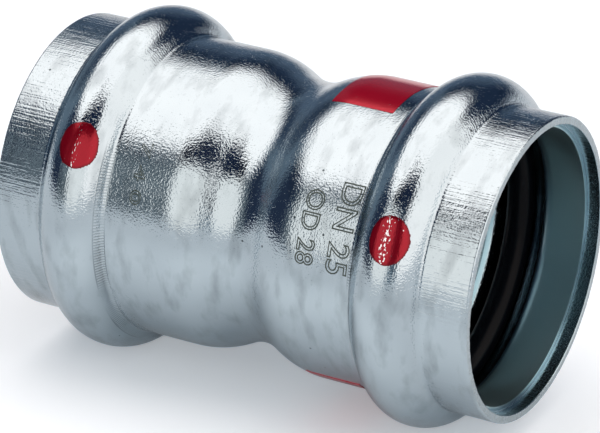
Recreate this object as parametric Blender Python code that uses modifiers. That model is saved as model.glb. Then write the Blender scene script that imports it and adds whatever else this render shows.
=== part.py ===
"""Press-fit pipe coupling for 28 mm steel pipe, lying on its side with its bore along X.

One tube is rolled and pressed into a narrow waist, two sockets and two seal beads.
A rubber ring sits inside each bead. Everything is turned about the X axis, and the
two halves mirror each other about the YZ plane.
"""

import math

import bpy

# Driving dimensions, in metres.
LENGTH = 0.0536
SOCKET_RADIUS = 0.0156
WALL = 0.0014
WAIST_RADIUS = 0.01365
WAIST_ARC = 0.006
SHOULDER_ARC = 0.009
WAIST_REACH = 0.00742
BEAD_PLACE = 0.01776
BEAD_RADIUS = 0.01807
BEAD_CREST_ARC = 0.004
BEAD_FOOT_ARC = 0.0005
BEAD_SPREAD = 0.00402
LIP_ROUNDING = 0.00045
LEAD_IN_DEPTH = 0.0015
LEAD_IN_WIDTH = 0.0003
RING_CORD_RADIUS = 0.0014
RING_RADIUS = 0.01495

# How finely round shapes are cut.
TURN_STEPS = 48
RING_CORD_STEPS = 10
WAIST_STEPS = 3
CREST_STEPS = 6
FOOT_STEPS = 2
LIP_STEPS = 2

HALF_LENGTH = LENGTH / 2
BORE_RADIUS = SOCKET_RADIUS - WALL

# Base colour, metallic value and roughness of each material.
ZINC = ("zinc_plated_steel", (0.62, 0.66, 0.69, 1.0), 1.0, 0.28)
RUBBER = ("epdm_rubber", (0.012, 0.013, 0.016, 1.0), 0.0, 0.42)


def clear_scene():
    for obj in list(bpy.data.objects):
        bpy.data.objects.remove(obj, do_unlink=True)


def new_collection(name):
    collection = bpy.data.collections.new(name)
    bpy.context.scene.collection.children.link(collection)
    return collection


def new_material(name, colour, metallic, roughness):
    material = bpy.data.materials.new(name)
    material.use_nodes = True
    shader = material.node_tree.nodes["Principled BSDF"]
    shader.inputs["Base Color"].default_value = colour
    shader.inputs["Metallic"].default_value = metallic
    shader.inputs["Roughness"].default_value = roughness
    return material


def arc(centre, radius, start, end, steps):
    """Points (x, r) along an arc between two angles, both ends included."""
    angles = [start + (end - start) * step / steps for step in range(steps + 1)]
    return [(centre[0] + radius * math.cos(a), centre[1] + radius * math.sin(a)) for a in angles]


def touch_angle(run, rise, radii):
    """Angle at which the straight line touching a crest arc and a foot arc meets the crest arc.

    run and rise lead from the crest arc's centre to the foot arc's, and radii is the
    sum of their radii. A wall's two faces have the same centres and the same sum, so
    the angle serves both.
    """
    return math.atan2(rise, run) + math.acos(radii / math.hypot(run, rise))


def waist_line(depth):
    """From the middle of the waist to the socket, this far under the outer surface."""
    valley = (0, WAIST_RADIUS + WAIST_ARC)
    shoulder = (WAIST_REACH, SOCKET_RADIUS - SHOULDER_ARC)
    touch = touch_angle(WAIST_REACH, valley[1] - shoulder[1], SHOULDER_ARC + WAIST_ARC)
    hollow = arc(valley, WAIST_ARC + depth, 1.5 * math.pi, math.tau - touch, WAIST_STEPS)
    crown = arc(shoulder, SHOULDER_ARC - depth, math.pi - touch, math.pi / 2, WAIST_STEPS)
    return hollow + crown


def bead_line(depth):
    """The bead from its inboard foot over the crest to its outboard foot, at a depth."""
    crest_centre = (BEAD_PLACE, BEAD_RADIUS - BEAD_CREST_ARC)
    foot_centre = (BEAD_PLACE + BEAD_SPREAD, SOCKET_RADIUS + BEAD_FOOT_ARC)
    touch = touch_angle(BEAD_SPREAD, foot_centre[1] - crest_centre[1], BEAD_CREST_ARC + BEAD_FOOT_ARC)
    crest = arc(crest_centre, BEAD_CREST_ARC - depth, math.pi - touch, touch, CREST_STEPS)
    foot = arc(foot_centre, BEAD_FOOT_ARC + depth, touch + math.pi, 1.5 * math.pi, FOOT_STEPS)
    inboard_foot = [(2 * BEAD_PLACE - x, radius) for x, radius in reversed(foot)]
    return inboard_foot + crest + foot


def half_outline():
    """The wall's section from the middle to the lip outside, and back again inside."""
    rounding = (HALF_LENGTH - LIP_ROUNDING, SOCKET_RADIUS - LIP_ROUNDING)
    outside = waist_line(0) + bead_line(0)
    outside += arc(rounding, LIP_ROUNDING, math.pi / 2, 0, LIP_STEPS)
    inside = waist_line(WALL) + bead_line(WALL)
    inside.append((HALF_LENGTH - LEAD_IN_DEPTH, BORE_RADIUS))
    inside.append((HALF_LENGTH, BORE_RADIUS + LEAD_IN_WIDTH))
    return outside, inside


def mirrored(line):
    """A half line and its mirror image, in one run from -X to +X."""
    return [(-x, radius) for x, radius in reversed(line[1:])] + line


def turned(name, outline, material, collection):
    """A solid turned about X from a closed outline of (x, r) points.

    The outline runs from +X to -X along its outer side. The mesh is turned about its
    own Z axis, and the object's rotation lays that axis along X.
    """
    mesh = bpy.data.meshes.new(name)
    vertices = [(radius, 0, x) for x, radius in outline]
    edges = [(i, (i + 1) % len(vertices)) for i in range(len(vertices))]
    mesh.from_pydata(vertices, edges, [])
    mesh.materials.append(material)
    obj = bpy.data.objects.new(name, mesh)
    obj.rotation_euler = (0, math.pi / 2, 0)
    collection.objects.link(obj)
    screw = obj.modifiers.new("turn", "SCREW")
    screw.axis = "Z"
    screw.angle = math.tau
    screw.steps = TURN_STEPS
    screw.render_steps = TURN_STEPS
    screw.use_merge_vertices = True
    screw.merge_threshold = 0.00001
    screw.use_smooth_shade = True
    return obj


def make_body(material, collection):
    outside, inside = half_outline()
    outline = list(reversed(mirrored(outside))) + mirrored(inside)
    return turned("coupling_body", outline, material, collection)


def make_ring(name, side, material, collection):
    centre = (side * BEAD_PLACE, RING_RADIUS)
    outline = arc(centre, RING_CORD_RADIUS, 0, math.tau, RING_CORD_STEPS)[:-1]
    return turned(name, outline, material, collection)


def main():
    clear_scene()
    collection = new_collection("press_coupling")
    zinc = new_material(*ZINC)
    rubber = new_material(*RUBBER)
    make_body(zinc, collection)
    make_ring("seal_ring_left", -1, rubber, collection)
    make_ring("seal_ring_right", 1, rubber, collection)


main()
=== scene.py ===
"""The finished look of a press-fit coupling for 28 mm steel pipe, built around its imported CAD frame.

Every piece is turned or wrapped about the X axis, which is the coupling's bore.
Sizes are in metres and angles in degrees unless a name says otherwise.
"""

from __future__ import annotations

import logging
import math
from dataclasses import dataclass, field
from enum import Enum

import bmesh
import bpy
from mathutils import Matrix, Vector, noise

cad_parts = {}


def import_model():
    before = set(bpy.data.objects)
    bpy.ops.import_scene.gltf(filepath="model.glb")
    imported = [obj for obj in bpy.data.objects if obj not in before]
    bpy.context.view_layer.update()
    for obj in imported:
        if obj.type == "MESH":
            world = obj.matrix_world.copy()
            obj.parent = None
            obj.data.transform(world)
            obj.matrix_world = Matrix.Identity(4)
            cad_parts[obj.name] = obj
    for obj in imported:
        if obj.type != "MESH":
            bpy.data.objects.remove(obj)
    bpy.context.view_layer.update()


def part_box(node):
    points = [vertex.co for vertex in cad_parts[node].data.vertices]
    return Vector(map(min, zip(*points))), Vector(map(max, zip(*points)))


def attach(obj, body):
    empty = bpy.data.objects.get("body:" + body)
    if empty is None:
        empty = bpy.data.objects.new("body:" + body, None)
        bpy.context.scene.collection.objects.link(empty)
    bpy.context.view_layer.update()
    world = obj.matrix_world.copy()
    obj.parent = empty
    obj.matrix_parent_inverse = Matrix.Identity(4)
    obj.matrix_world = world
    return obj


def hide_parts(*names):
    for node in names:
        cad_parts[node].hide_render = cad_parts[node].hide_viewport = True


logger = logging.getLogger("press_coupling")

MM = 0.001
BODY = "root"

# Points nearer than this are one point, and a smooth round outline has this many sides.
MERGE = 0.0005 * MM
ROUND_SIDES = 96

# Mesh attributes that the paint reads: how near a point is to the dab's edge, and how rubbed it is.
EDGE_SHARE = "edge_share"
RUBBED_SHARE = "rubbed_share"

# The Mix node's sockets: its two numbers, its two colours and the colour that comes out.
NUMBER_A, NUMBER_B, COLOUR_A, COLOUR_B, COLOUR_OUT = 2, 3, 6, 7, 2

# A place on a section: the way along the bore and the radius.
Place = tuple[float, float]

# A turn about each axis, in radians.
Turn = tuple[float, float, float]

Material = bpy.types.Material
Point = bmesh.types.BMVert
Socket = bpy.types.NodeSocket
Tree = bpy.types.NodeTree


class End(Enum):
    """The two ends of the coupling, named as they stand along X."""

    LEFT = -1
    RIGHT = 1


@dataclass(frozen=True)
class Span:
    """The value where a mark starts to show and the value where it shows in full."""

    start: float
    full: float

    def read(self, value: Socket, low: float = 0.0, high: float = 1.0) -> dict:
        """What goes into a Map Range node, which then gives low where the mark starts and high in full."""
        return {"Value": value, "From Min": self.start, "From Max": self.full, "To Min": low, "To Max": high}


# ---------------------------------------------------------------- colours and nodes


def linear(code: str) -> tuple[float, float, float, float]:
    """Turns an sRGB hex colour into the linear colour that the shaders take.

    Args:
        code: Six hex digits, with or without a leading #.

    Returns:
        Red, green, blue and an alpha of one.
    """
    text = code.lstrip("#")
    parts = [int(text[i:i + 2], 16) / 255 for i in (0, 2, 4)]
    light = [p / 12.92 if p <= 0.04045 else ((p + 0.055) / 1.055) ** 2.4 for p in parts]
    return (light[0], light[1], light[2], 1.0)


def bright(code: str, gain: float) -> tuple[float, float, float, float]:
    """An sRGB hex colour as linear light, made stronger or weaker by a gain."""
    return (*(Vector(linear(code)[:3]) * gain), 1.0)


def add_node(tree: Tree, kind: str, links: dict | None = None, **settings: object) -> bpy.types.NodeOutputs:
    """Adds a node with its settings and links.

    Args:
        tree: The node tree that takes the node.
        kind: The node's type name without its ShaderNode prefix.
        links: What goes into each input, by name or number: an output socket or a constant.
        settings: The node's own properties by name.

    Returns:
        The new node's output sockets.
    """
    node = tree.nodes.new("ShaderNode" + kind)
    for name, value in settings.items():
        setattr(node, name, value)
    for key, value in (links or {}).items():
        if isinstance(value, Socket):
            tree.links.new(value, node.inputs[key])
        else:
            node.inputs[key].default_value = value
    return node.outputs


def start_material(name: str) -> tuple[Material, Tree, bpy.types.Node]:
    """Makes a material that holds only its shader.

    Args:
        name: The finish it is named for.

    Returns:
        The material, its node tree and its Principled shader.
    """
    material = bpy.data.materials.new(name)
    material.use_nodes = True
    tree = material.node_tree
    return material, tree, tree.nodes["Principled BSDF"]


def band(tree: Tree, value: Socket, middle: float, half_width: float, softness: float) -> Socket:
    """Marks a soft-edged band of a value with 1 and everything outside it with 0.

    Args:
        tree: The node tree that takes the nodes.
        value: The socket that is read.
        middle: The value in the middle of the band.
        half_width: The way from the middle to where the mark is half gone.
        softness: The way from there to where the mark is full, or gone.

    Returns:
        The mark's socket.
    """
    offset = add_node(tree, "Math", {0: value, 1: middle}, operation="SUBTRACT")[0]
    distance = add_node(tree, "Math", {0: offset}, operation="ABSOLUTE")[0]
    links = {"Value": distance, "From Min": half_width + softness, "From Max": half_width - softness}
    return add_node(tree, "MapRange", links, interpolation_type="SMOOTHSTEP")[0]


def stretched_noise(tree: Tree, place: Socket, along: float,
                    across: float | None = None, detail: float = 2.0, turn: Turn | None = None) -> Socket:
    """Noise whose blotches have their own real size along the bore and across it.

    Args:
        tree: The node tree that takes the nodes.
        place: Object coordinates, in metres.
        along: The blotches' size along X, in metres.
        across: Their size along Y and Z, which is the same if it isn't given.
        detail: How many finer layers ride on the blotches.
        turn: How far the pattern is turned about each axis, in radians.

    Returns:
        The noise value's socket.
    """
    turned = place
    if turn is not None:
        turned = add_node(tree, "Mapping", {"Vector": place, "Rotation": turn})[0]
    side = 1 / (across or along)
    mapped = add_node(tree, "Mapping", {"Vector": turned, "Scale": (1 / along, side, side)})[0]
    return add_node(tree, "TexNoise", {"Vector": mapped, "Scale": 1.0, "Detail": detail})[0]


def stack_reliefs(tree: Tree, reliefs: list[tuple[Socket, float]]) -> Socket:
    """Lays reliefs on each other in the shading.

    Args:
        tree: The node tree that takes the nodes.
        reliefs: Each relief's height, from 0 to 1, and the real height of a full step in metres.

    Returns:
        The normal's socket.
    """
    normal = add_node(tree, "NewGeometry")["Normal"]
    for height, depth in reliefs:
        normal = add_node(tree, "Bump", {"Height": height, "Distance": depth, "Normal": normal})[0]
    return normal


def stack_colours(tree: Tree, ground: object, coats: list[tuple[Socket, object]]) -> Socket:
    """Lays coats of colour on each other, each as far as its own share goes.

    Args:
        tree: The node tree that takes the nodes.
        ground: The colour or socket under them all.
        coats: Each coat's share, from 0 to 1, and its colour or socket.

    Returns:
        The colour's socket.
    """
    colour = ground
    for share, coat in coats:
        colour = add_node(tree, "Mix", {0: share, COLOUR_A: colour, COLOUR_B: coat},
                          data_type="RGBA")[COLOUR_OUT]
    return colour


# ---------------------------------------------------------------- finishes


@dataclass(frozen=True)
class TubePoint:
    """The sockets that tell a finish where each point of the tube lies.

    along is the way from the middle of the coupling, radius the way from the bore's
    axis, and angle the way round it in radians.
    """

    tree: Tree
    place: Socket
    along: Socket
    radius: Socket
    angle: Socket

    @classmethod
    def read_in(cls, tree: Tree) -> TubePoint:
        """Adds the nodes that work these out from Object coordinates.

        Args:
            tree: The node tree that takes the nodes.

        Returns:
            The sockets.
        """
        place = add_node(tree, "TexCoord")["Object"]
        x, y, z = add_node(tree, "SeparateXYZ", {0: place})
        along = add_node(tree, "Math", {0: x}, operation="ABSOLUTE")[0]
        across = add_node(tree, "VectorMath", {0: place, 1: (0.0, 1.0, 1.0)}, operation="MULTIPLY")[0]
        radius = add_node(tree, "VectorMath", {0: across}, operation="LENGTH")["Value"]
        angle = add_node(tree, "Math", {0: z, 1: y}, operation="ARCTAN2")[0]
        return cls(tree, place, along, radius, angle)


@dataclass(frozen=True)
class ZincPlate:
    """Bright electroplated zinc over rolled steel tube.

    The plating is glossy, but a fine grain breaks the edge of every reflection into
    specks. Rolling leaves rings and a row of ticks at the beads, pressing leaves draw
    lines along the collars, and handling leaves hairlines, pits and faint smears. The
    bore is smoother, and its colour is painted light: lighter and greener so that it
    reads as lit, with painted shade in the darker lead-in. The cut lip is duller.
    """

    light: str = "#b7c5cc"
    dull: str = "#aebcc4"
    stain: str = "#566065"
    # bore: painted light, a lighter and greener colour so that the inside of the sockets reads as lit
    bore: str = "#bcd6da"
    # lead_in_painted_shade: painted shade, a darker colour for the dark reflection in the lead-in band
    lead_in_painted_shade: str = "#8fb0bc"
    cut: str = "#a9b6bb"
    roughness: float = 0.06
    dull_roughness: float = 0.12
    bore_roughness: float = 0.3
    grain: float = 0.2 * MM
    grain_depth: float = 0.026 * MM
    ripple: float = 3.5 * MM
    ripple_depth: float = 0.03 * MM
    ripple_span: Span = Span(0.3, 0.7)
    ring_line: float = 0.2 * MM
    ring_length: float = 9.0 * MM
    ring_depth: float = 0.014 * MM
    draw_line: float = 0.22 * MM
    draw_length: float = 5.0 * MM
    draw_depth: float = 0.05 * MM
    bead_from: float = 13.0 * MM
    bead_to: float = 21.1 * MM
    bead_fade: float = 0.5 * MM
    lip_span: Span = Span(26.74 * MM, 26.78 * MM)
    tick_from: float = 13.75 * MM
    tick_to: float = 14.6 * MM
    tick_fade: float = 0.08 * MM
    tick_count: float = 330.0
    tick_span: Span = Span(0.2, 0.8)
    tick_depth: float = 0.016 * MM
    tick_patch: float = 5.0 * MM
    tick_patch_span: Span = Span(0.42, 0.62)
    tick_dirt: float = 0.6
    score_width: float = 0.07 * MM
    scratch_width: float = 0.13 * MM
    scratch_length: float = 5.0 * MM
    scratch_depth: float = 0.006 * MM
    scratch_span: Span = Span(0.78, 0.84)
    scratch_turns: tuple[Turn, ...] = ((0.3, 0.5, 0.4), (0.2, -0.6, -0.5))
    smear_width: float = 1.6 * MM
    smear_length: float = 4.0 * MM
    smear_detail: float = 4.0
    smear_span: Span = Span(0.5, 0.85)
    smear_most: float = 0.5
    pit_spacing: float = 3.0 * MM
    pit_span: Span = Span(0.049, 0.035)
    bore_span: Span = Span(14.85 * MM, 14.6 * MM)
    bore_start_span: Span = Span(8.5 * MM, 9.5 * MM)
    # the radii over which the lead-in's painted shade starts and becomes full
    lead_in_shade_span: Span = Span(14.3 * MM, 14.4 * MM)

    def material(self) -> Material:
        """Builds the node material.

        Returns:
            The finished material.
        """
        material, tree, shader = start_material("bright_zinc_plate")
        point = TubePoint.read_in(tree)
        inside = self.inside(point)
        outside = add_node(tree, "Math", {0: 1.0, 1: inside}, operation="SUBTRACT")[0]
        on_lip = add_node(tree, "MapRange", self.lip_span.read(point.along))[0]
        ripple = stretched_noise(tree, point.place, self.ripple, detail=1.0)
        ticks = self.ticks(point)
        normal = stack_reliefs(tree, [
            (ripple, self.ripple_depth),
            (self.rolled_rings(point), self.ring_depth),
            (self.draw_lines(point, outside), self.draw_depth),
            (self.scratches(point), self.scratch_depth),
            (ticks, self.tick_depth),
            (self.grain_height(point, outside), self.grain_depth),
        ])
        colour = stack_colours(tree, linear(self.light), [
            (ripple, linear(self.dull)),
            (self.dirt(point, ticks), linear(self.stain)),
            # the bore's colour is painted light, lighter and greener, with painted shade in the lead-in
            (inside, self.bore_painted_light_and_shade(point)),
            (on_lip, linear(self.cut)),
        ])
        glosses = self.ripple_span.read(ripple, self.roughness, self.dull_roughness)
        gloss = add_node(tree, "MapRange", glosses)[0]
        satin = add_node(tree, "Math", {0: inside, 1: on_lip}, operation="MAXIMUM")[0]
        roughness = add_node(tree, "Mix", {0: satin, NUMBER_A: gloss, NUMBER_B: self.bore_roughness})[0]
        tree.links.new(colour, shader.inputs["Base Color"])
        tree.links.new(roughness, shader.inputs["Roughness"])
        tree.links.new(normal, shader.inputs["Normal"])
        shader.inputs["Metallic"].default_value = 1.0
        return material

    def inside(self, point: TubePoint) -> Socket:
        """Marks the bores of both sockets.

        Args:
            point: Where the point lies.

        Returns:
            The mark's socket.
        """
        near = add_node(point.tree, "MapRange", self.bore_span.read(point.radius))[0]
        deep = add_node(point.tree, "MapRange", self.bore_start_span.read(point.along))[0]
        return add_node(point.tree, "Math", {0: near, 1: deep}, operation="MULTIPLY")[0]

    def bore_painted_light_and_shade(self, point: TubePoint) -> Socket:
        """The bore's colour, painted light that makes it lighter and greener, with painted shade that makes
        it darker in the lead-in.

        Args:
            point: Where the point lies.

        Returns:
            The colour's socket.
        """
        # painted shade: the lead-in is darker than the painted-light bore
        share = add_node(point.tree, "MapRange", self.lead_in_shade_span.read(point.radius))[0]
        return add_node(point.tree, "Mix", {0: share, COLOUR_A: linear(self.bore),
                                            COLOUR_B: linear(self.lead_in_painted_shade)},
                        data_type="RGBA")[COLOUR_OUT]

    def grain_height(self, point: TubePoint, outside: Socket) -> Socket:
        """The plating's crystal grain on the outer surface, drawn coarser than life so that it shows."""
        grain = stretched_noise(point.tree, point.place, self.grain, detail=1.0)
        return add_node(point.tree, "Math", {0: grain, 1: outside}, operation="MULTIPLY")[0]

    def rolled_rings(self, point: TubePoint) -> Socket:
        """Fine rings that run round each bead.

        Args:
            point: Where the point lies.

        Returns:
            The height's socket.
        """
        rings = stretched_noise(point.tree, point.place, self.ring_line, self.ring_length)
        middle = (self.bead_from + self.bead_to) / 2
        on_bead = band(point.tree, point.along, middle, self.bead_to - middle, self.bead_fade)
        return add_node(point.tree, "Math", {0: rings, 1: on_bead}, operation="MULTIPLY")[0]

    def draw_lines(self, point: TubePoint, outside: Socket) -> Socket:
        """Fine lines that run along the collars, between the beads and the lips.

        Args:
            point: Where the point lies.
            outside: Where the outer surface is.

        Returns:
            The height's socket.
        """
        lines = stretched_noise(point.tree, point.place, self.draw_length, self.draw_line)
        collar = Span(self.bead_to - self.bead_fade, self.bead_to + self.bead_fade)
        on_collar = add_node(point.tree, "MapRange", collar.read(point.along))[0]
        shown = add_node(point.tree, "Math", {0: lines, 1: on_collar}, operation="MULTIPLY")[0]
        return add_node(point.tree, "Math", {0: shown, 1: outside}, operation="MULTIPLY")[0]

    def ticks(self, point: TubePoint) -> Socket:
        """The patchy row of short marks, between two scored lines, that the rolling tool leaves.

        The real marks are about 0.2 mm apart, and these are spaced wider so that they show.

        Args:
            point: Where the point lies.

        Returns:
            The marks' socket.
        """
        tree = point.tree
        turned = add_node(tree, "Math", {0: point.angle, 1: self.tick_count}, operation="MULTIPLY")[0]
        wave = add_node(tree, "Math", {0: turned}, operation="SINE")[0]
        teeth = add_node(tree, "MapRange", self.tick_span.read(wave))[0]
        middle = (self.tick_from + self.tick_to) / 2
        row = band(tree, point.along, middle, self.tick_to - middle, self.tick_fade)
        marks = add_node(tree, "Math", {0: teeth, 1: row}, operation="MULTIPLY")[0]
        for line in (self.tick_from, self.tick_to):
            score = band(tree, point.along, line, self.score_width / 2, self.score_width / 2)
            marks = add_node(tree, "Math", {0: marks, 1: score}, operation="MAXIMUM")[0]
        patches = stretched_noise(tree, point.place, self.tick_patch, detail=1.0)
        pressed = add_node(tree, "MapRange", self.tick_patch_span.read(patches))[0]
        return add_node(tree, "Math", {0: marks, 1: pressed}, operation="MULTIPLY")[0]

    def scratches(self, point: TubePoint) -> Socket:
        """Short straight hairlines from handling, in a few directions.

        Args:
            point: Where the point lies.

        Returns:
            The height's socket.
        """
        height = 0.0
        for turn in self.scratch_turns:
            lines = stretched_noise(point.tree, point.place, self.scratch_length, self.scratch_width, 0, turn)
            rare = add_node(point.tree, "MapRange", self.scratch_span.read(lines))[0]
            height = add_node(point.tree, "Math", {0: height, 1: rare}, operation="MAXIMUM")[0]
        return height

    def dirt(self, point: TubePoint, ticks: Socket) -> Socket:
        """Faint grey smears, longer round the tube than along it, tiny dark pits, and dirt in the ticks.

        Args:
            point: Where the point lies.
            ticks: Where the tick marks are.

        Returns:
            How much of the dirt shows.
        """
        tree = point.tree
        smear = stretched_noise(tree, point.place, self.smear_width, self.smear_length, self.smear_detail)
        smears = add_node(tree, "MapRange", self.smear_span.read(smear, 0.0, self.smear_most))[0]
        cells = add_node(tree, "TexVoronoi", {"Vector": point.place, "Scale": 1 / self.pit_spacing})[0]
        pits = add_node(tree, "MapRange", self.pit_span.read(cells))[0]
        in_ticks = add_node(tree, "Math", {0: ticks, 1: self.tick_dirt}, operation="MULTIPLY")[0]
        both = add_node(tree, "Math", {0: pits, 1: smears}, operation="MAXIMUM")[0]
        return add_node(tree, "Math", {0: both, 1: in_ticks}, operation="MAXIMUM")[0]


@dataclass(frozen=True)
class SealRubber:
    """Moulded EPDM rubber, lightly greased: nearly black, with a soft sheen where light grazes it."""

    colour: str = "#05070b"
    roughness: float = 0.26
    shine: float = 0.07
    grain: float = 0.12 * MM
    grain_depth: float = 0.004 * MM

    def material(self) -> Material:
        """Builds the node material.

        Returns:
            The finished material.
        """
        material, tree, shader = start_material("greased_epdm_rubber")
        grain = stretched_noise(tree, add_node(tree, "TexCoord")["Object"], self.grain)
        tree.links.new(stack_reliefs(tree, [(grain, self.grain_depth)]), shader.inputs["Normal"])
        shader.inputs["Base Color"].default_value = linear(self.colour)
        shader.inputs["Roughness"].default_value = self.roughness
        shader.inputs["Specular IOR Level"].default_value = self.shine
        return material


@dataclass(frozen=True)
class MarkingPaint:
    """Thin red lacquer over bright zinc.

    It takes the metal's reflections in red, looks deep and wet, is darker at its edge,
    and where a dab is rubbed the bare metal shows in specks.
    """

    name: str
    colour: str
    edge: str = "#5c0312"
    bare: str = "#dfe6ea"
    over_metal: float = 0.55
    roughness: float = 0.13
    speck: float = 0.17 * MM
    speck_length: float = 0.34 * MM
    speck_depth: float = 0.012 * MM
    rubbed_gain: float = 0.26
    bare_span: Span = Span(0.75, 0.79)
    edge_span: Span = Span(0.84, 1.0)

    def material(self) -> Material:
        """Builds the node material, which reads each point's two shares from the mesh.

        Returns:
            The finished material.
        """
        material, tree, shader = start_material(self.name)
        place = add_node(tree, "TexCoord")["Object"]
        specks = stretched_noise(tree, place, self.speck, self.speck_length)
        rim = add_node(tree, "Attribute", attribute_name=EDGE_SHARE)["Fac"]
        rubbed = add_node(tree, "Attribute", attribute_name=RUBBED_SHARE)["Fac"]
        worn = add_node(tree, "Math", {0: rubbed, 1: self.rubbed_gain}, operation="MULTIPLY")[0]
        worn = add_node(tree, "Math", {0: specks, 1: worn}, operation="ADD")[0]
        bare = add_node(tree, "MapRange", self.bare_span.read(worn))[0]
        at_edge = add_node(tree, "MapRange", self.edge_span.read(rim))[0]
        colour = stack_colours(tree, linear(self.colour),
                               [(at_edge, linear(self.edge)), (bare, linear(self.bare))])
        metal = add_node(tree, "MapRange", {"Value": bare, "To Min": self.over_metal})[0]
        tree.links.new(colour, shader.inputs["Base Color"])
        tree.links.new(metal, shader.inputs["Metallic"])
        tree.links.new(stack_reliefs(tree, [(specks, self.speck_depth)]), shader.inputs["Normal"])
        shader.inputs["Roughness"].default_value = self.roughness
        return material


@dataclass(frozen=True)
class EtchedLine:
    """Zinc burned through by the marking laser: a dull olive grey line."""

    colour: str = "#2f3937"
    pale: str = "#56625e"
    blotch: float = 0.3 * MM
    metal: float = 0.5
    roughness: float = 0.5

    def material(self) -> Material:
        """Builds the node material.

        Returns:
            The finished material.
        """
        material, tree, shader = start_material("laser_etched_zinc")
        burn = stretched_noise(tree, add_node(tree, "TexCoord")["Object"], self.blotch, detail=3.0)
        colour = add_node(tree, "Mix", {0: burn, COLOUR_A: linear(self.colour),
                                        COLOUR_B: linear(self.pale)}, data_type="RGBA")[COLOUR_OUT]
        tree.links.new(colour, shader.inputs["Base Color"])
        shader.inputs["Metallic"].default_value = self.metal
        shader.inputs["Roughness"].default_value = self.roughness
        return material


@dataclass(frozen=True)
class PaperFloor:
    """Matt studio paper, nearly white, lit from below where it is looked at, so that shadows stay light."""

    colour: str = "#e0e8ee"
    glow: str = "#f0f4f8"
    glow_strength: float = 0.04
    seen_strength: float = 0.31
    roughness: float = 0.9
    shine: float = 0.1

    def material(self) -> Material:
        """Builds the plain material.

        Returns:
            The finished material.
        """
        material, tree, shader = start_material("studio_paper")
        seen = add_node(tree, "LightPath")["Is Camera Ray"]
        strength = add_node(tree, "MapRange", {"Value": seen, "To Min": self.glow_strength,
                                               "To Max": self.seen_strength})[0]
        tree.links.new(strength, shader.inputs["Emission Strength"])
        shader.inputs["Base Color"].default_value = linear(self.colour)
        shader.inputs["Emission Color"].default_value = linear(self.glow)
        shader.inputs["Roughness"].default_value = self.roughness
        shader.inputs["Specular IOR Level"].default_value = self.shine
        return material


# ---------------------------------------------------------------- shapes


@dataclass
class OutlinePen:
    """Draws a turned part's outline in the XZ plane, where X runs along the bore and Z is the radius."""

    mesh: bmesh.types.BMesh
    tip: Point

    def line_to(self, place: Place) -> None:
        """Draws a straight stretch.

        Args:
            place: Where it ends.
        """
        grown = bmesh.ops.extrude_vert_indiv(self.mesh, verts=[self.tip])
        self.tip = grown["verts"][0]
        self.tip.co = Vector((place[0], 0.0, place[1]))

    def sweep(self, centre: Place, degrees: float, step: float) -> None:
        """Draws an arc round a centre.

        Args:
            centre: The arc's centre.
            degrees: How far it turns, clockwise as seen with X to the right if positive.
            step: The longest turn between two points.
        """
        steps = max(2, math.ceil(abs(degrees) / step))
        turned = bmesh.ops.spin(self.mesh, geom=[self.tip], cent=Vector((centre[0], 0.0, centre[1])),
                                axis=Vector((0.0, 1.0, 0.0)), angle=math.radians(degrees), steps=steps)
        self.tip = next(v for v in turned["geom_last"] if isinstance(v, Point))


def on_arc(centre: Place, radius: float, angle: float) -> Place:
    """The point on an arc at an angle from the bore's direction, in degrees."""
    turn = math.radians(angle)
    return (centre[0] + radius * math.cos(turn), centre[1] + radius * math.sin(turn))


def touch_angle(run: float, rise: float, radii: float) -> float:
    """Angle at which the straight line touching a crest arc and a foot arc meets the crest arc.

    Args:
        run: The way along the bore from the crest arc's centre to the foot arc's.
        rise: The way outwards between them.
        radii: The sum of both radii.

    Returns:
        The angle from the bore's direction, in degrees.
    """
    return math.degrees(math.atan2(rise, run) + math.acos(radii / math.hypot(run, rise)))


def finish_mesh(mesh: bmesh.types.BMesh, name: str, material: Material,
                sharp: float = 30.0) -> bpy.types.Object:
    """Turns a bmesh into a shaded object that stands at the origin.

    Args:
        mesh: The shape, which is freed.
        name: The piece's name.
        material: Its finish.
        sharp: Edges that fold by more than this many degrees stay crisp.

    Returns:
        The new object.
    """
    bmesh.ops.remove_doubles(mesh, verts=mesh.verts, dist=MERGE)
    bmesh.ops.recalc_face_normals(mesh, faces=mesh.faces)
    data = bpy.data.meshes.new(name)
    mesh.to_mesh(data)
    mesh.free()
    data.materials.append(material)
    data.shade_smooth()
    data.set_sharp_from_angle(angle=math.radians(sharp))
    piece = bpy.data.objects.new(name, data)
    bpy.context.scene.collection.objects.link(piece)
    return piece


def spin_round(mesh: bmesh.types.BMesh, steps: int, axis: Vector = Vector((1.0, 0.0, 0.0))) -> None:
    """Turns everything in a mesh once round an axis through the origin, which is the bore's by default."""
    bmesh.ops.spin(mesh, geom=[*mesh.verts, *mesh.edges], cent=Vector(), axis=axis,
                   angle=math.tau, steps=steps, use_merge=True)


def round_bore(x: float, radius: float, turn: float) -> Vector:
    """The point at a place along the bore, a radius and a turn in radians up from the viewer's side."""
    return Vector((x, -radius * math.cos(turn), radius * math.sin(turn)))


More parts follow.
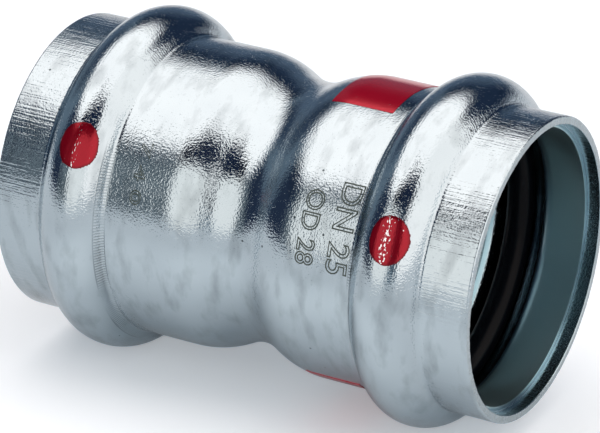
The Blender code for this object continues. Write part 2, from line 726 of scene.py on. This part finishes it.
@dataclass
class TubeShape:
    """The formed tube's section, taken from the frame where the frame has it."""

    half_length: float
    bead_radius: float
    bead_place: float
    socket_radius: float = 15.6 * MM
    wall: float = 1.4 * MM
    waist_radius: float = 13.65 * MM
    waist_arc: float = 6.0 * MM
    shoulder_arc: float = 9.0 * MM
    waist_reach: float = 7.42 * MM
    bead_arc: float = 4.0 * MM
    foot_arc: float = 0.5 * MM
    bead_spread: float = 4.02 * MM

    @classmethod
    def from_frame(cls) -> TubeShape:
        """Reads the length, the bead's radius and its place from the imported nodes.

        Returns:
            The section at its real size.
        """
        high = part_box("coupling_body")[1]
        ring_low, ring_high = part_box("seal_ring_right")
        return cls(half_length=high.x, bead_radius=high.z, bead_place=(ring_low.x + ring_high.x) / 2)

    @property
    def bore_radius(self) -> float:
        """The socket's inner radius."""
        return self.socket_radius - self.wall

    @property
    def hollow_centre(self) -> Place:
        """Centre of the waist's arc."""
        return (0.0, self.waist_radius + self.waist_arc)

    @property
    def shoulder_centre(self) -> Place:
        """Centre of the right shoulder's arc."""
        return (self.waist_reach, self.socket_radius - self.shoulder_arc)

    @property
    def crest_centre(self) -> Place:
        """Centre of the right bead's crest arc."""
        return (self.bead_place, self.bead_radius - self.bead_arc)

    @property
    def foot_centres(self) -> tuple[Place, Place]:
        """Centres of the right bead's two foot arcs, inboard and outboard."""
        height = self.socket_radius + self.foot_arc
        return (self.bead_place - self.bead_spread, height), (self.bead_place + self.bead_spread, height)

    @property
    def bead_touch(self) -> float:
        """Angle at which a bead's flank meets its crest arc."""
        rise = self.foot_centres[0][1] - self.crest_centre[1]
        return touch_angle(self.bead_spread, rise, self.bead_arc + self.foot_arc)

    @property
    def waist_touch(self) -> float:
        """Angle at which the waist's flank meets the shoulder arc."""
        rise = self.hollow_centre[1] - self.shoulder_centre[1]
        return touch_angle(self.waist_reach, rise, self.waist_arc + self.shoulder_arc)

    def socket_surface(self, x: float) -> float:
        """The outer radius at a place between the right shoulder and the right bead."""
        inboard = max(0.0, self.waist_reach - x)
        return self.shoulder_centre[1] + math.sqrt(self.shoulder_arc ** 2 - inboard ** 2)


# ---------------------------------------------------------------- the coupling


@dataclass
class FormedTube:
    """The one steel tube: waist, two sockets, two seal beads and two collars."""

    shape: TubeShape
    finish: Material
    lip_rounding: float = 0.25 * MM
    edge_rounding: float = 0.1 * MM
    lead_in_depth: float = 1.5 * MM
    lead_in_width: float = 0.55 * MM
    turns: int = 360
    dent_size: float = 7.0 * MM
    dent_depth: float = 0.02 * MM
    burr_size: float = 0.5 * MM
    burr_depth: float = 0.05 * MM
    burr_reach: float = 0.3 * MM
    mirror_merge: float = 0.001 * MM

    # The longest turn between two points of the section, at each stretch of it.
    waist_step: float = 3.0
    crest_step: float = 3.5
    foot_step: float = 9.0
    edge_step: float = 10.0
    groove_step: float = 6.0
    throat_step: float = 4.0

    def build(self) -> bpy.types.Object:
        """Turns the section round the bore and gives it the slight unevenness of a formed tube.

        Returns:
            The tube.
        """
        mesh = bmesh.new()
        self.draw_half(OutlinePen(mesh, mesh.verts.new((0.0, 0.0, self.shape.waist_radius))))
        bmesh.ops.mirror(mesh, geom=[*mesh.verts, *mesh.edges], axis="X",
                         merge_dist=self.mirror_merge)
        spin_round(mesh, self.turns)
        for vert in mesh.verts:
            self.dent(vert)
        piece = finish_mesh(mesh, "formed_tube", self.finish)
        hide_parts("coupling_body")
        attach(piece, BODY)
        return piece

    def dent(self, vert: Point) -> None:
        """Moves a point inwards by a smooth share of the dent depth, and roughens the cut lip.

        Args:
            vert: The point.
        """
        outward = Vector((0.0, vert.co.y, vert.co.z)).normalized()
        share = 0.5 + 0.5 * noise.noise(vert.co / self.dent_size)
        at_lip = max(0.0, 1 - (self.shape.half_length - abs(vert.co.x)) / self.burr_reach)
        burr = 0.5 + 0.5 * noise.noise(outward * self.shape.socket_radius / self.burr_size)
        vert.co -= outward * self.dent_depth * share
        vert.co.x -= math.copysign(self.burr_depth * burr * at_lip, vert.co.x)

    def draw_half(self, pen: OutlinePen) -> None:
        """Draws the section's right half, from the waist out to the lip and back inside.

        Args:
            pen: The pen, which stands on the waist's outer face.
        """
        shape = self.shape
        near, far = shape.foot_centres
        self.draw_waist(pen)
        self.draw_bead(pen)
        self.draw_lip(pen)
        inner_foot = shape.foot_arc + shape.wall
        touch = shape.bead_touch
        pen.line_to((far[0], shape.bore_radius))
        pen.sweep(far, 90 - touch, self.groove_step)
        pen.line_to(on_arc(shape.crest_centre, shape.bead_arc - shape.wall, touch))
        pen.sweep(shape.crest_centre, 2 * touch - 180, self.groove_step)
        pen.line_to(on_arc(near, inner_foot, -touch))
        pen.sweep(near, 90 - touch, self.groove_step)
        touch = shape.waist_touch
        pen.line_to((shape.waist_reach, shape.bore_radius))
        pen.sweep(shape.shoulder_centre, touch - 90, self.throat_step)
        pen.line_to(on_arc(shape.hollow_centre, shape.waist_arc + shape.wall, -touch))
        pen.sweep(shape.hollow_centre, 90 - touch, self.throat_step)

    def draw_waist(self, pen: OutlinePen) -> None:
        """Draws the waist's hollow and shoulder outside.

        Args:
            pen: The pen, which stands on the waist's outer face.
        """
        shape = self.shape
        touch = shape.waist_touch
        pen.sweep(shape.hollow_centre, touch - 90, self.waist_step)
        pen.line_to(on_arc(shape.shoulder_centre, shape.shoulder_arc, 180 - touch))
        pen.sweep(shape.shoulder_centre, 90 - touch, self.waist_step)

    def draw_bead(self, pen: OutlinePen) -> None:
        """Draws the bead outside, foot to foot.

        Args:
            pen: The pen, which stands on the socket's outer face.
        """
        shape = self.shape
        near, far = shape.foot_centres
        touch = shape.bead_touch
        pen.line_to((near[0], shape.socket_radius))
        pen.sweep(near, touch - 90, self.foot_step)
        pen.line_to(on_arc(shape.crest_centre, shape.bead_arc, 180 - touch))
        pen.sweep(shape.crest_centre, 180 - 2 * touch, self.crest_step)
        pen.line_to(on_arc(far, shape.foot_arc, 180 + touch))
        pen.sweep(far, touch - 90, self.foot_step)

    def draw_lip(self, pen: OutlinePen) -> None:
        """Draws the rounded outer edge, the flat lip and the stepped lead-in that centres a pipe.

        Args:
            pen: The pen, which stands on the collar's outer face.
        """
        shape = self.shape
        tip = shape.half_length
        rounding = (tip - self.lip_rounding, shape.socket_radius - self.lip_rounding)
        mouth = shape.bore_radius + self.lead_in_width
        foot = tip - self.lead_in_depth
        pen.line_to((rounding[0], shape.socket_radius))
        pen.sweep(rounding, 90, self.edge_step)
        pen.line_to((tip, mouth + self.edge_rounding))
        pen.sweep((tip - self.edge_rounding, mouth + self.edge_rounding), 90, self.edge_step)
        pen.line_to((foot, mouth))
        pen.line_to((foot, shape.bore_radius))


@dataclass
class SealRing:
    """A round rubber ring that lies in a bead's groove."""

    end: End
    finish: Material
    section_points: int = 40
    turns: int = 220

    def build(self) -> bpy.types.Object:
        """Turns a circle round the bore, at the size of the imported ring.

        Returns:
            The ring.
        """
        node = "seal_ring_" + self.end.name.lower()
        low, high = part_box(node)
        cord = (high.x - low.x) / 2
        mesh = bmesh.new()
        stand = Matrix.Translation(((low.x + high.x) / 2, 0.0, high.z - cord))
        bmesh.ops.create_circle(mesh, segments=self.section_points, radius=cord,
                                matrix=stand @ Matrix.Rotation(math.pi / 2, 4, "X"))
        spin_round(mesh, self.turns)
        piece = finish_mesh(mesh, self.end.name.lower() + "_sealing_ring", self.finish)
        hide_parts(node)
        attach(piece, BODY)
        return piece


@dataclass
class PaintDot:
    """A dab of red paint on a bead that shows the bead holds its ring, rubbed along one line."""

    end: End
    shape: TubeShape
    finish: Material
    round_at: float
    off_crest: float
    rubbed_at: float
    rubbed_width: float = 0.6 * MM
    rubbed_most: float = 1.0
    radius_along: float = 2.15 * MM
    radius_round: float = 2.5 * MM
    thickness: float = 0.06 * MM
    sunk: float = 0.08 * MM
    dome_power: int = 8
    bare_edge: float = 0.95
    wobble: float = 0.05
    wobble_scale: float = 1.7
    wobble_shift: float = 3.0
    merge_share: float = 0.0001
    rings: int = 24
    sides: int = 96

    def build(self) -> bpy.types.Object:
        """Makes a domed disc and lays it on the bead.

        Returns:
            The dab.
        """
        mesh = bmesh.new()
        edge = mesh.verts.layers.float.new(EDGE_SHARE)
        rubbed = mesh.verts.layers.float.new(RUBBED_SHARE)
        pen = OutlinePen(mesh, mesh.verts.new((0.0, 0.0, self.thickness)))
        for ring in range(1, self.rings + 1):
            way = ring / self.rings
            pen.line_to((way, self.thickness * math.sqrt(1 - way ** self.dome_power)))
        pen.line_to((1.0, -self.sunk))
        pen.line_to((0.0, -self.sunk))
        spin_round(mesh, self.sides, Vector((0.0, 0.0, 1.0)))
        bmesh.ops.remove_doubles(mesh, verts=mesh.verts, dist=self.merge_share)
        for vert in mesh.verts:
            off_line = abs(vert.co.x * self.radius_along - self.rubbed_at) / self.rubbed_width
            vert[edge] = math.hypot(vert.co.x, vert.co.y)
            vert[rubbed] = self.rubbed_most * max(0.0, 1 - off_line) * (vert[edge] < self.bare_edge)
            self.lay(vert)
        piece = finish_mesh(mesh, self.end.name.lower() + "_paint_dot", self.finish)
        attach(piece, BODY)
        return piece

    def lay(self, vert: Point) -> None:
        """Moves a point of the unit disc onto the bead.

        Args:
            vert: The point: a share of the disc's radius in X and Y, and a real height in Z.
        """
        shape = self.shape
        side = self.end.value
        spot = Vector((vert.co.x, vert.co.y, side * self.wobble_shift)) * self.wobble_scale
        uneven = 1 + self.wobble * noise.noise(spot)
        travel = self.off_crest + vert.co.x * self.radius_along * uneven
        lean = travel / shape.bead_arc
        x, radius = on_arc(shape.crest_centre, shape.bead_arc + vert.co.z, 90 - math.degrees(lean))
        turn = math.radians(self.round_at) + vert.co.y * self.radius_round * uneven / shape.bead_radius
        vert.co = round_bore(side * x, radius, turn)


@dataclass
class PaintField:
    """A printed red field on the right socket."""

    name: str
    shape: TubeShape
    finish: Material
    x_from: float
    x_to: float
    round_from: float
    round_to: float
    thickness: float = 0.03 * MM
    sunk: float = 0.06 * MM
    steps_along: int = 40
    steps_round: int = 90

    def build(self) -> bpy.types.Object:
        """Bends a thin slab round the socket.

        Returns:
            The field.
        """
        mesh = bmesh.new()
        mesh.verts.layers.float.new(EDGE_SHARE)
        mesh.verts.layers.float.new(RUBBED_SHARE)
        bmesh.ops.create_grid(mesh, x_segments=self.steps_along, y_segments=self.steps_round, size=0.5)
        grown = bmesh.ops.extrude_face_region(mesh, geom=list(mesh.faces))
        for vert in (item for item in grown["geom"] if isinstance(item, Point)):
            vert.co.z = 1.0
        for vert in mesh.verts:
            self.bend(vert)
        piece = finish_mesh(mesh, self.name, self.finish)
        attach(piece, BODY)
        return piece

    def bend(self, vert: Point) -> None:
        """Moves a point of the unit slab onto the socket.

        Args:
            vert: The point, whose Z is 1 on the outer face and 0 on the inner one.
        """
        x = self.x_from + (vert.co.x + 0.5) * (self.x_to - self.x_from)
        turn = math.radians(self.round_from + (vert.co.y + 0.5) * (self.round_to - self.round_from))
        rise = self.thickness if vert.co.z > 0.5 else -self.sunk
        vert.co = round_bore(x, self.shape.socket_surface(x) + rise, turn)


@dataclass
class SizeMark:
    """A line of etched size marking that reads down round a socket, its tops towards the right end."""

    name: str
    text: str
    shape: TubeShape
    finish: Material
    base_at: float
    starts_at: float
    cap_height: float
    run: float
    line: float = 0.075 * MM
    flatness: float = 0.5
    sunk: float = 0.01 * MM
    cap_share: float = 0.7
    line_facets: int = 1
    curve_steps: int = 4
    sharp: float = 80.0

    def build(self) -> bpy.types.Object:
        """Draws the letters as thin outline tubes and wraps them on the tube.

        Returns:
            The marking.
        """
        mesh = self.letters()
        start = min(vert.co.x for vert in mesh.verts)
        width = max(vert.co.x for vert in mesh.verts) - start
        for vert in mesh.verts:
            vert.co.x = (vert.co.x - start) * self.run / width
            self.wrap(vert)
        piece = finish_mesh(mesh, self.name, self.finish, self.sharp)
        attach(piece, BODY)
        return piece

    def letters(self) -> bmesh.types.BMesh:
        """Makes the flat text's outlines into a mesh.

        Returns:
            The letters, which run along X.
        """
        curve = bpy.data.curves.new(self.name, "FONT")
        curve.body = self.text
        curve.size = self.cap_height / self.cap_share
        curve.fill_mode = "NONE"
        curve.bevel_depth = self.line
        curve.bevel_resolution = self.line_facets
        curve.resolution_u = self.curve_steps
        text = bpy.data.objects.new(self.name + "_text", curve)
        bpy.context.scene.collection.objects.link(text)
        bpy.context.view_layer.update()
        flat = bpy.data.meshes.new_from_object(text.evaluated_get(bpy.context.evaluated_depsgraph_get()))
        bpy.data.objects.remove(text, do_unlink=True)
        mesh = bmesh.new()
        mesh.from_mesh(flat)
        bpy.data.meshes.remove(flat)
        return mesh

    def wrap(self, vert: Point) -> None:
        """Moves a point of the flat text onto the socket.

        Args:
            vert: The point.
        """
        turn = math.radians(self.starts_at) - vert.co.x / self.shape.socket_radius
        radius = self.shape.socket_radius + vert.co.z * self.flatness - self.sunk
        vert.co = round_bore(self.base_at + vert.co.y, radius, turn)


# ---------------------------------------------------------------- studio


@dataclass(frozen=True)
class StudioPanel:
    """A soft-edged panel of light or shade that stands round the object.

    Azimuth 0 is towards the viewer's side (-Y) and 90 is towards +X. A woven panel
    has threads of a second colour.
    """

    azimuth: float
    elevation: float
    half_width: float
    half_height: float
    colour: str
    gain: float
    softness: float = 4.0
    threads: str | None = None
    thread_scale: float = 24.0
    thread_span: Span = Span(0.5, 0.62)

    def cover(self, tree: Tree, direction: Socket,
              angles: tuple[Socket, Socket],
              below: object) -> Socket:
        """Lays the panel over what is behind it.

        Args:
            tree: The world's node tree.
            direction: The direction that is looked in.
            angles: Its azimuth and elevation in degrees.
            below: The colour of what is behind.

        Returns:
            The colour with the panel in front.
        """
        shifted = add_node(tree, "Math", {0: angles[0], 1: self.azimuth}, operation="SUBTRACT")[0]
        wrapped = add_node(tree, "Math", {0: shifted, 1: 180.0, 2: -180.0}, operation="WRAP")[0]
        side = band(tree, wrapped, 0.0, self.half_width, self.softness)
        height = band(tree, angles[1], self.elevation, self.half_height, self.softness)
        share = add_node(tree, "Math", {0: side, 1: height}, operation="MULTIPLY")[0]
        colour = bright(self.colour, self.gain)
        if self.threads is not None:
            weave = add_node(tree, "TexNoise", {"Vector": direction, "Scale": self.thread_scale})[0]
            crisp = add_node(tree, "MapRange", self.thread_span.read(weave))[0]
            colour = add_node(tree, "Mix", {0: crisp, COLOUR_A: colour,
                                            COLOUR_B: bright(self.threads, self.gain)},
                              data_type="RGBA")[COLOUR_OUT]
        return add_node(tree, "Mix", {0: share, COLOUR_A: below, COLOUR_B: colour},
                        data_type="RGBA")[COLOUR_OUT]


@dataclass(frozen=True)
class LitSheet:
    """A small sheet of lit cloth with round corners that hangs close by, unseen by the camera itself."""

    azimuth: float = -1.5
    elevation: float = 22.0
    distance: float = 85.0 * MM
    half_size: float = 33.0 * MM
    squareness: float = 4.0
    colour: str = "#fff7f1"
    gain: float = 1.45

    def hang(self) -> None:
        """Hangs the sheet square to the object."""
        material, tree, shader = start_material("lit_cloth")
        shader.inputs["Base Color"].default_value = linear("#000000")
        shader.inputs["Specular IOR Level"].default_value = 0.0
        shader.inputs["Emission Color"].default_value = linear(self.colour)
        shader.inputs["Emission Strength"].default_value = self.gain
        mesh = bmesh.new()
        bmesh.ops.create_circle(mesh, cap_ends=True, segments=ROUND_SIDES, radius=1.0)
        for vert in mesh.verts:
            reach = sum(abs(part) ** self.squareness for part in vert.co) ** (1 / self.squareness)
            vert.co *= self.half_size / reach
        stand = Matrix.Rotation(math.radians(self.azimuth), 4, "Z")
        stand @= Matrix.Rotation(math.radians(-self.elevation), 4, "X")
        stand @= Matrix.Translation((0.0, -self.distance, 0.0)) @ Matrix.Rotation(math.pi / 2, 4, "X")
        mesh.transform(stand)
        sheet = finish_mesh(mesh, "lit_sheet", material)
        sheet.visible_camera = False


@dataclass
class Studio:
    """Plain pale floor, soft light from above and both sides, and the camera."""

    floor_at: float
    floor_finish: Material
    sheet: LitSheet = LitSheet()
    floor_radius: float = 1.6
    azimuth: float = 29.04
    elevation: float = 26.03
    distance: float = 376.8 * MM
    focal_length: float = 222.0
    clip: tuple[float, float] = (0.01, 10.0)
    aim: Vector = field(default_factory=lambda: Vector((0.0, 0.0, -0.42 * MM)))
    low_panels: tuple[StudioPanel, ...] = (
        StudioPanel(-105, 20, 57, 30, "#7c8c9b", 0.9, 8),
        StudioPanel(-58, 18, 18, 24, "#37445c", 0.75, 4),
        StudioPanel(-28, 18, 14, 24, "#4c5a66", 0.85, 3, threads="#e2e9eb"),
        StudioPanel(-118, 30, 18, 12, "#46546a", 0.8, 8),
        StudioPanel(175, 26, 42, 26, "#2c3a52", 0.85, 3),
        StudioPanel(-152, 6, 26, 15, "#64758a", 0.9, 8),
    )
    high_panels: tuple[StudioPanel, ...] = (
        StudioPanel(84, 24, 50, 42, "#fff4ee", 1.75, 2),
        StudioPanel(20, 54, 31, 12.5, "#26314a", 0.85, 3),
        StudioPanel(-20, 49.5, 12, 10, "#1c2438", 0.8, 2),
        StudioPanel(4, 68, 8, 11, "#2a3448", 0.8, 3),
        StudioPanel(27, 26, 8, 18, "#3c4654", 0.9, 3),
    )
    ceiling: str = "#fff3ed"
    ceiling_gain: float = 2.0
    ceiling_span: Span = Span(40.0, 48.0)
    wall: str = "#7f8f9b"
    backdrop: str = "#f6f8f9"

    def build(self) -> None:
        """Sets up the whole studio."""
        self.lay_floor()
        self.sheet.hang()
        self.light_world()
        self.place_camera()
        bpy.context.scene.view_settings.view_transform = "Standard"

    def lay_floor(self) -> None:
        """Lays a round sheet of paper under the beads."""
        mesh = bmesh.new()
        bmesh.ops.create_circle(mesh, cap_ends=True, segments=ROUND_SIDES, radius=self.floor_radius,
                                matrix=Matrix.Translation((0.0, 0.0, self.floor_at)))
        finish_mesh(mesh, "studio_floor", self.floor_finish)

    def light_world(self) -> None:
        """Surrounds the object with a white ceiling, grey walls and the panels."""
        world = bpy.data.worlds.new("studio")
        bpy.context.scene.world = world
        world.use_nodes = True
        tree = world.node_tree
        tree.nodes.clear()
        direction = add_node(tree, "TexCoord")["Generated"]
        x, y, z = add_node(tree, "SeparateXYZ", {0: direction})
        to_viewer = add_node(tree, "Math", {0: y, 1: -1.0}, operation="MULTIPLY")[0]
        turn = add_node(tree, "Math", {0: x, 1: to_viewer}, operation="ARCTAN2")[0]
        lift = add_node(tree, "Math", {0: z}, operation="ARCSINE")[0]
        azimuth = add_node(tree, "Math", {0: turn}, operation="DEGREES")[0]
        elevation = add_node(tree, "Math", {0: lift}, operation="DEGREES")[0]
        colour = linear(self.wall)
        for panel in self.low_panels:
            colour = panel.cover(tree, direction, (azimuth, elevation), colour)
        overhead = add_node(tree, "MapRange", self.ceiling_span.read(elevation))[0]
        colour = add_node(tree, "Mix", {0: overhead, COLOUR_A: colour,
                                        COLOUR_B: bright(self.ceiling, self.ceiling_gain)},
                          data_type="RGBA")[COLOUR_OUT]
        for panel in self.high_panels:
            colour = panel.cover(tree, direction, (azimuth, elevation), colour)
        seen = add_node(tree, "LightPath")["Is Camera Ray"]
        colour = add_node(tree, "Mix", {0: seen, COLOUR_A: colour, COLOUR_B: linear(self.backdrop)},
                          data_type="RGBA")[COLOUR_OUT]
        light = add_node(tree, "Background", {"Color": colour})[0]
        add_node(tree, "OutputWorld", {"Surface": light})

    def place_camera(self) -> None:
        """Stands the camera in front, above and to the right of the coupling."""
        turn, lift = math.radians(self.azimuth), math.radians(self.elevation)
        back = Vector((math.sin(turn) * math.cos(lift), -math.cos(turn) * math.cos(lift), math.sin(lift)))
        data = bpy.data.cameras.new("camera")
        data.lens = self.focal_length
        data.clip_start, data.clip_end = self.clip
        camera = bpy.data.objects.new("camera", data)
        bpy.context.scene.collection.objects.link(camera)
        camera.location = back * self.distance
        camera.rotation_euler = (camera.location - self.aim).to_track_quat("Z", "Y").to_euler()
        bpy.context.scene.camera = camera


# ---------------------------------------------------------------- main


def main() -> None:
    """Builds every piece round the frame, then the studio."""
    logging.basicConfig(level=logging.INFO, format="%(name)s: %(message)s")
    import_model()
    shape = TubeShape.from_frame()
    zinc = ZincPlate().material()
    rubber = SealRubber().material()
    printed = MarkingPaint("printed_red_lacquer", colour="#b60a2a", over_metal=0.5).material()
    dabbed = MarkingPaint("dabbed_red_lacquer", colour="#90081f", over_metal=0.6).material()
    etched = EtchedLine().material()
    makers = [
        FormedTube(shape, zinc),
        SealRing(End.LEFT, rubber),
        SealRing(End.RIGHT, rubber),
        PaintDot(End.LEFT, shape, dabbed, round_at=33.4, off_crest=-0.85 * MM, rubbed_at=0.15 * MM,
                 rubbed_most=0.55),
        PaintDot(End.RIGHT, shape, dabbed, round_at=27.3, off_crest=0.75 * MM, rubbed_at=-0.3 * MM,
                 rubbed_width=0.8 * MM),
        PaintField("upper_paint_field", shape, printed, 5.5 * MM, 12.3 * MM, 77.3, 128.0),
        PaintField("lower_paint_field", shape, printed, 6.4 * MM, 12.5 * MM, -48.5, -92.0),
        SizeMark("nominal_size_mark", "DN 25", shape, etched, base_at=11.3 * MM, starts_at=44.0,
                 cap_height=2.3 * MM, run=9.2 * MM),
        SizeMark("pipe_size_mark", "OD 28", shape, etched, base_at=7.9 * MM, starts_at=39.0,
                 cap_height=1.9 * MM, run=7.6 * MM),
        SizeMark("batch_mark", "7 4 0", shape, etched, base_at=-11.2 * MM, starts_at=41.0,
                 cap_height=1.2 * MM, run=6.4 * MM, line=0.04 * MM),
    ]
    for maker in makers:
        piece = maker.build()
        logger.info("%s: %d faces", piece.name, len(piece.data.polygons))
    Studio(floor_at=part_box("coupling_body")[0].z, floor_finish=PaperFloor().material()).build()


if __name__ == "__main__":
    main()
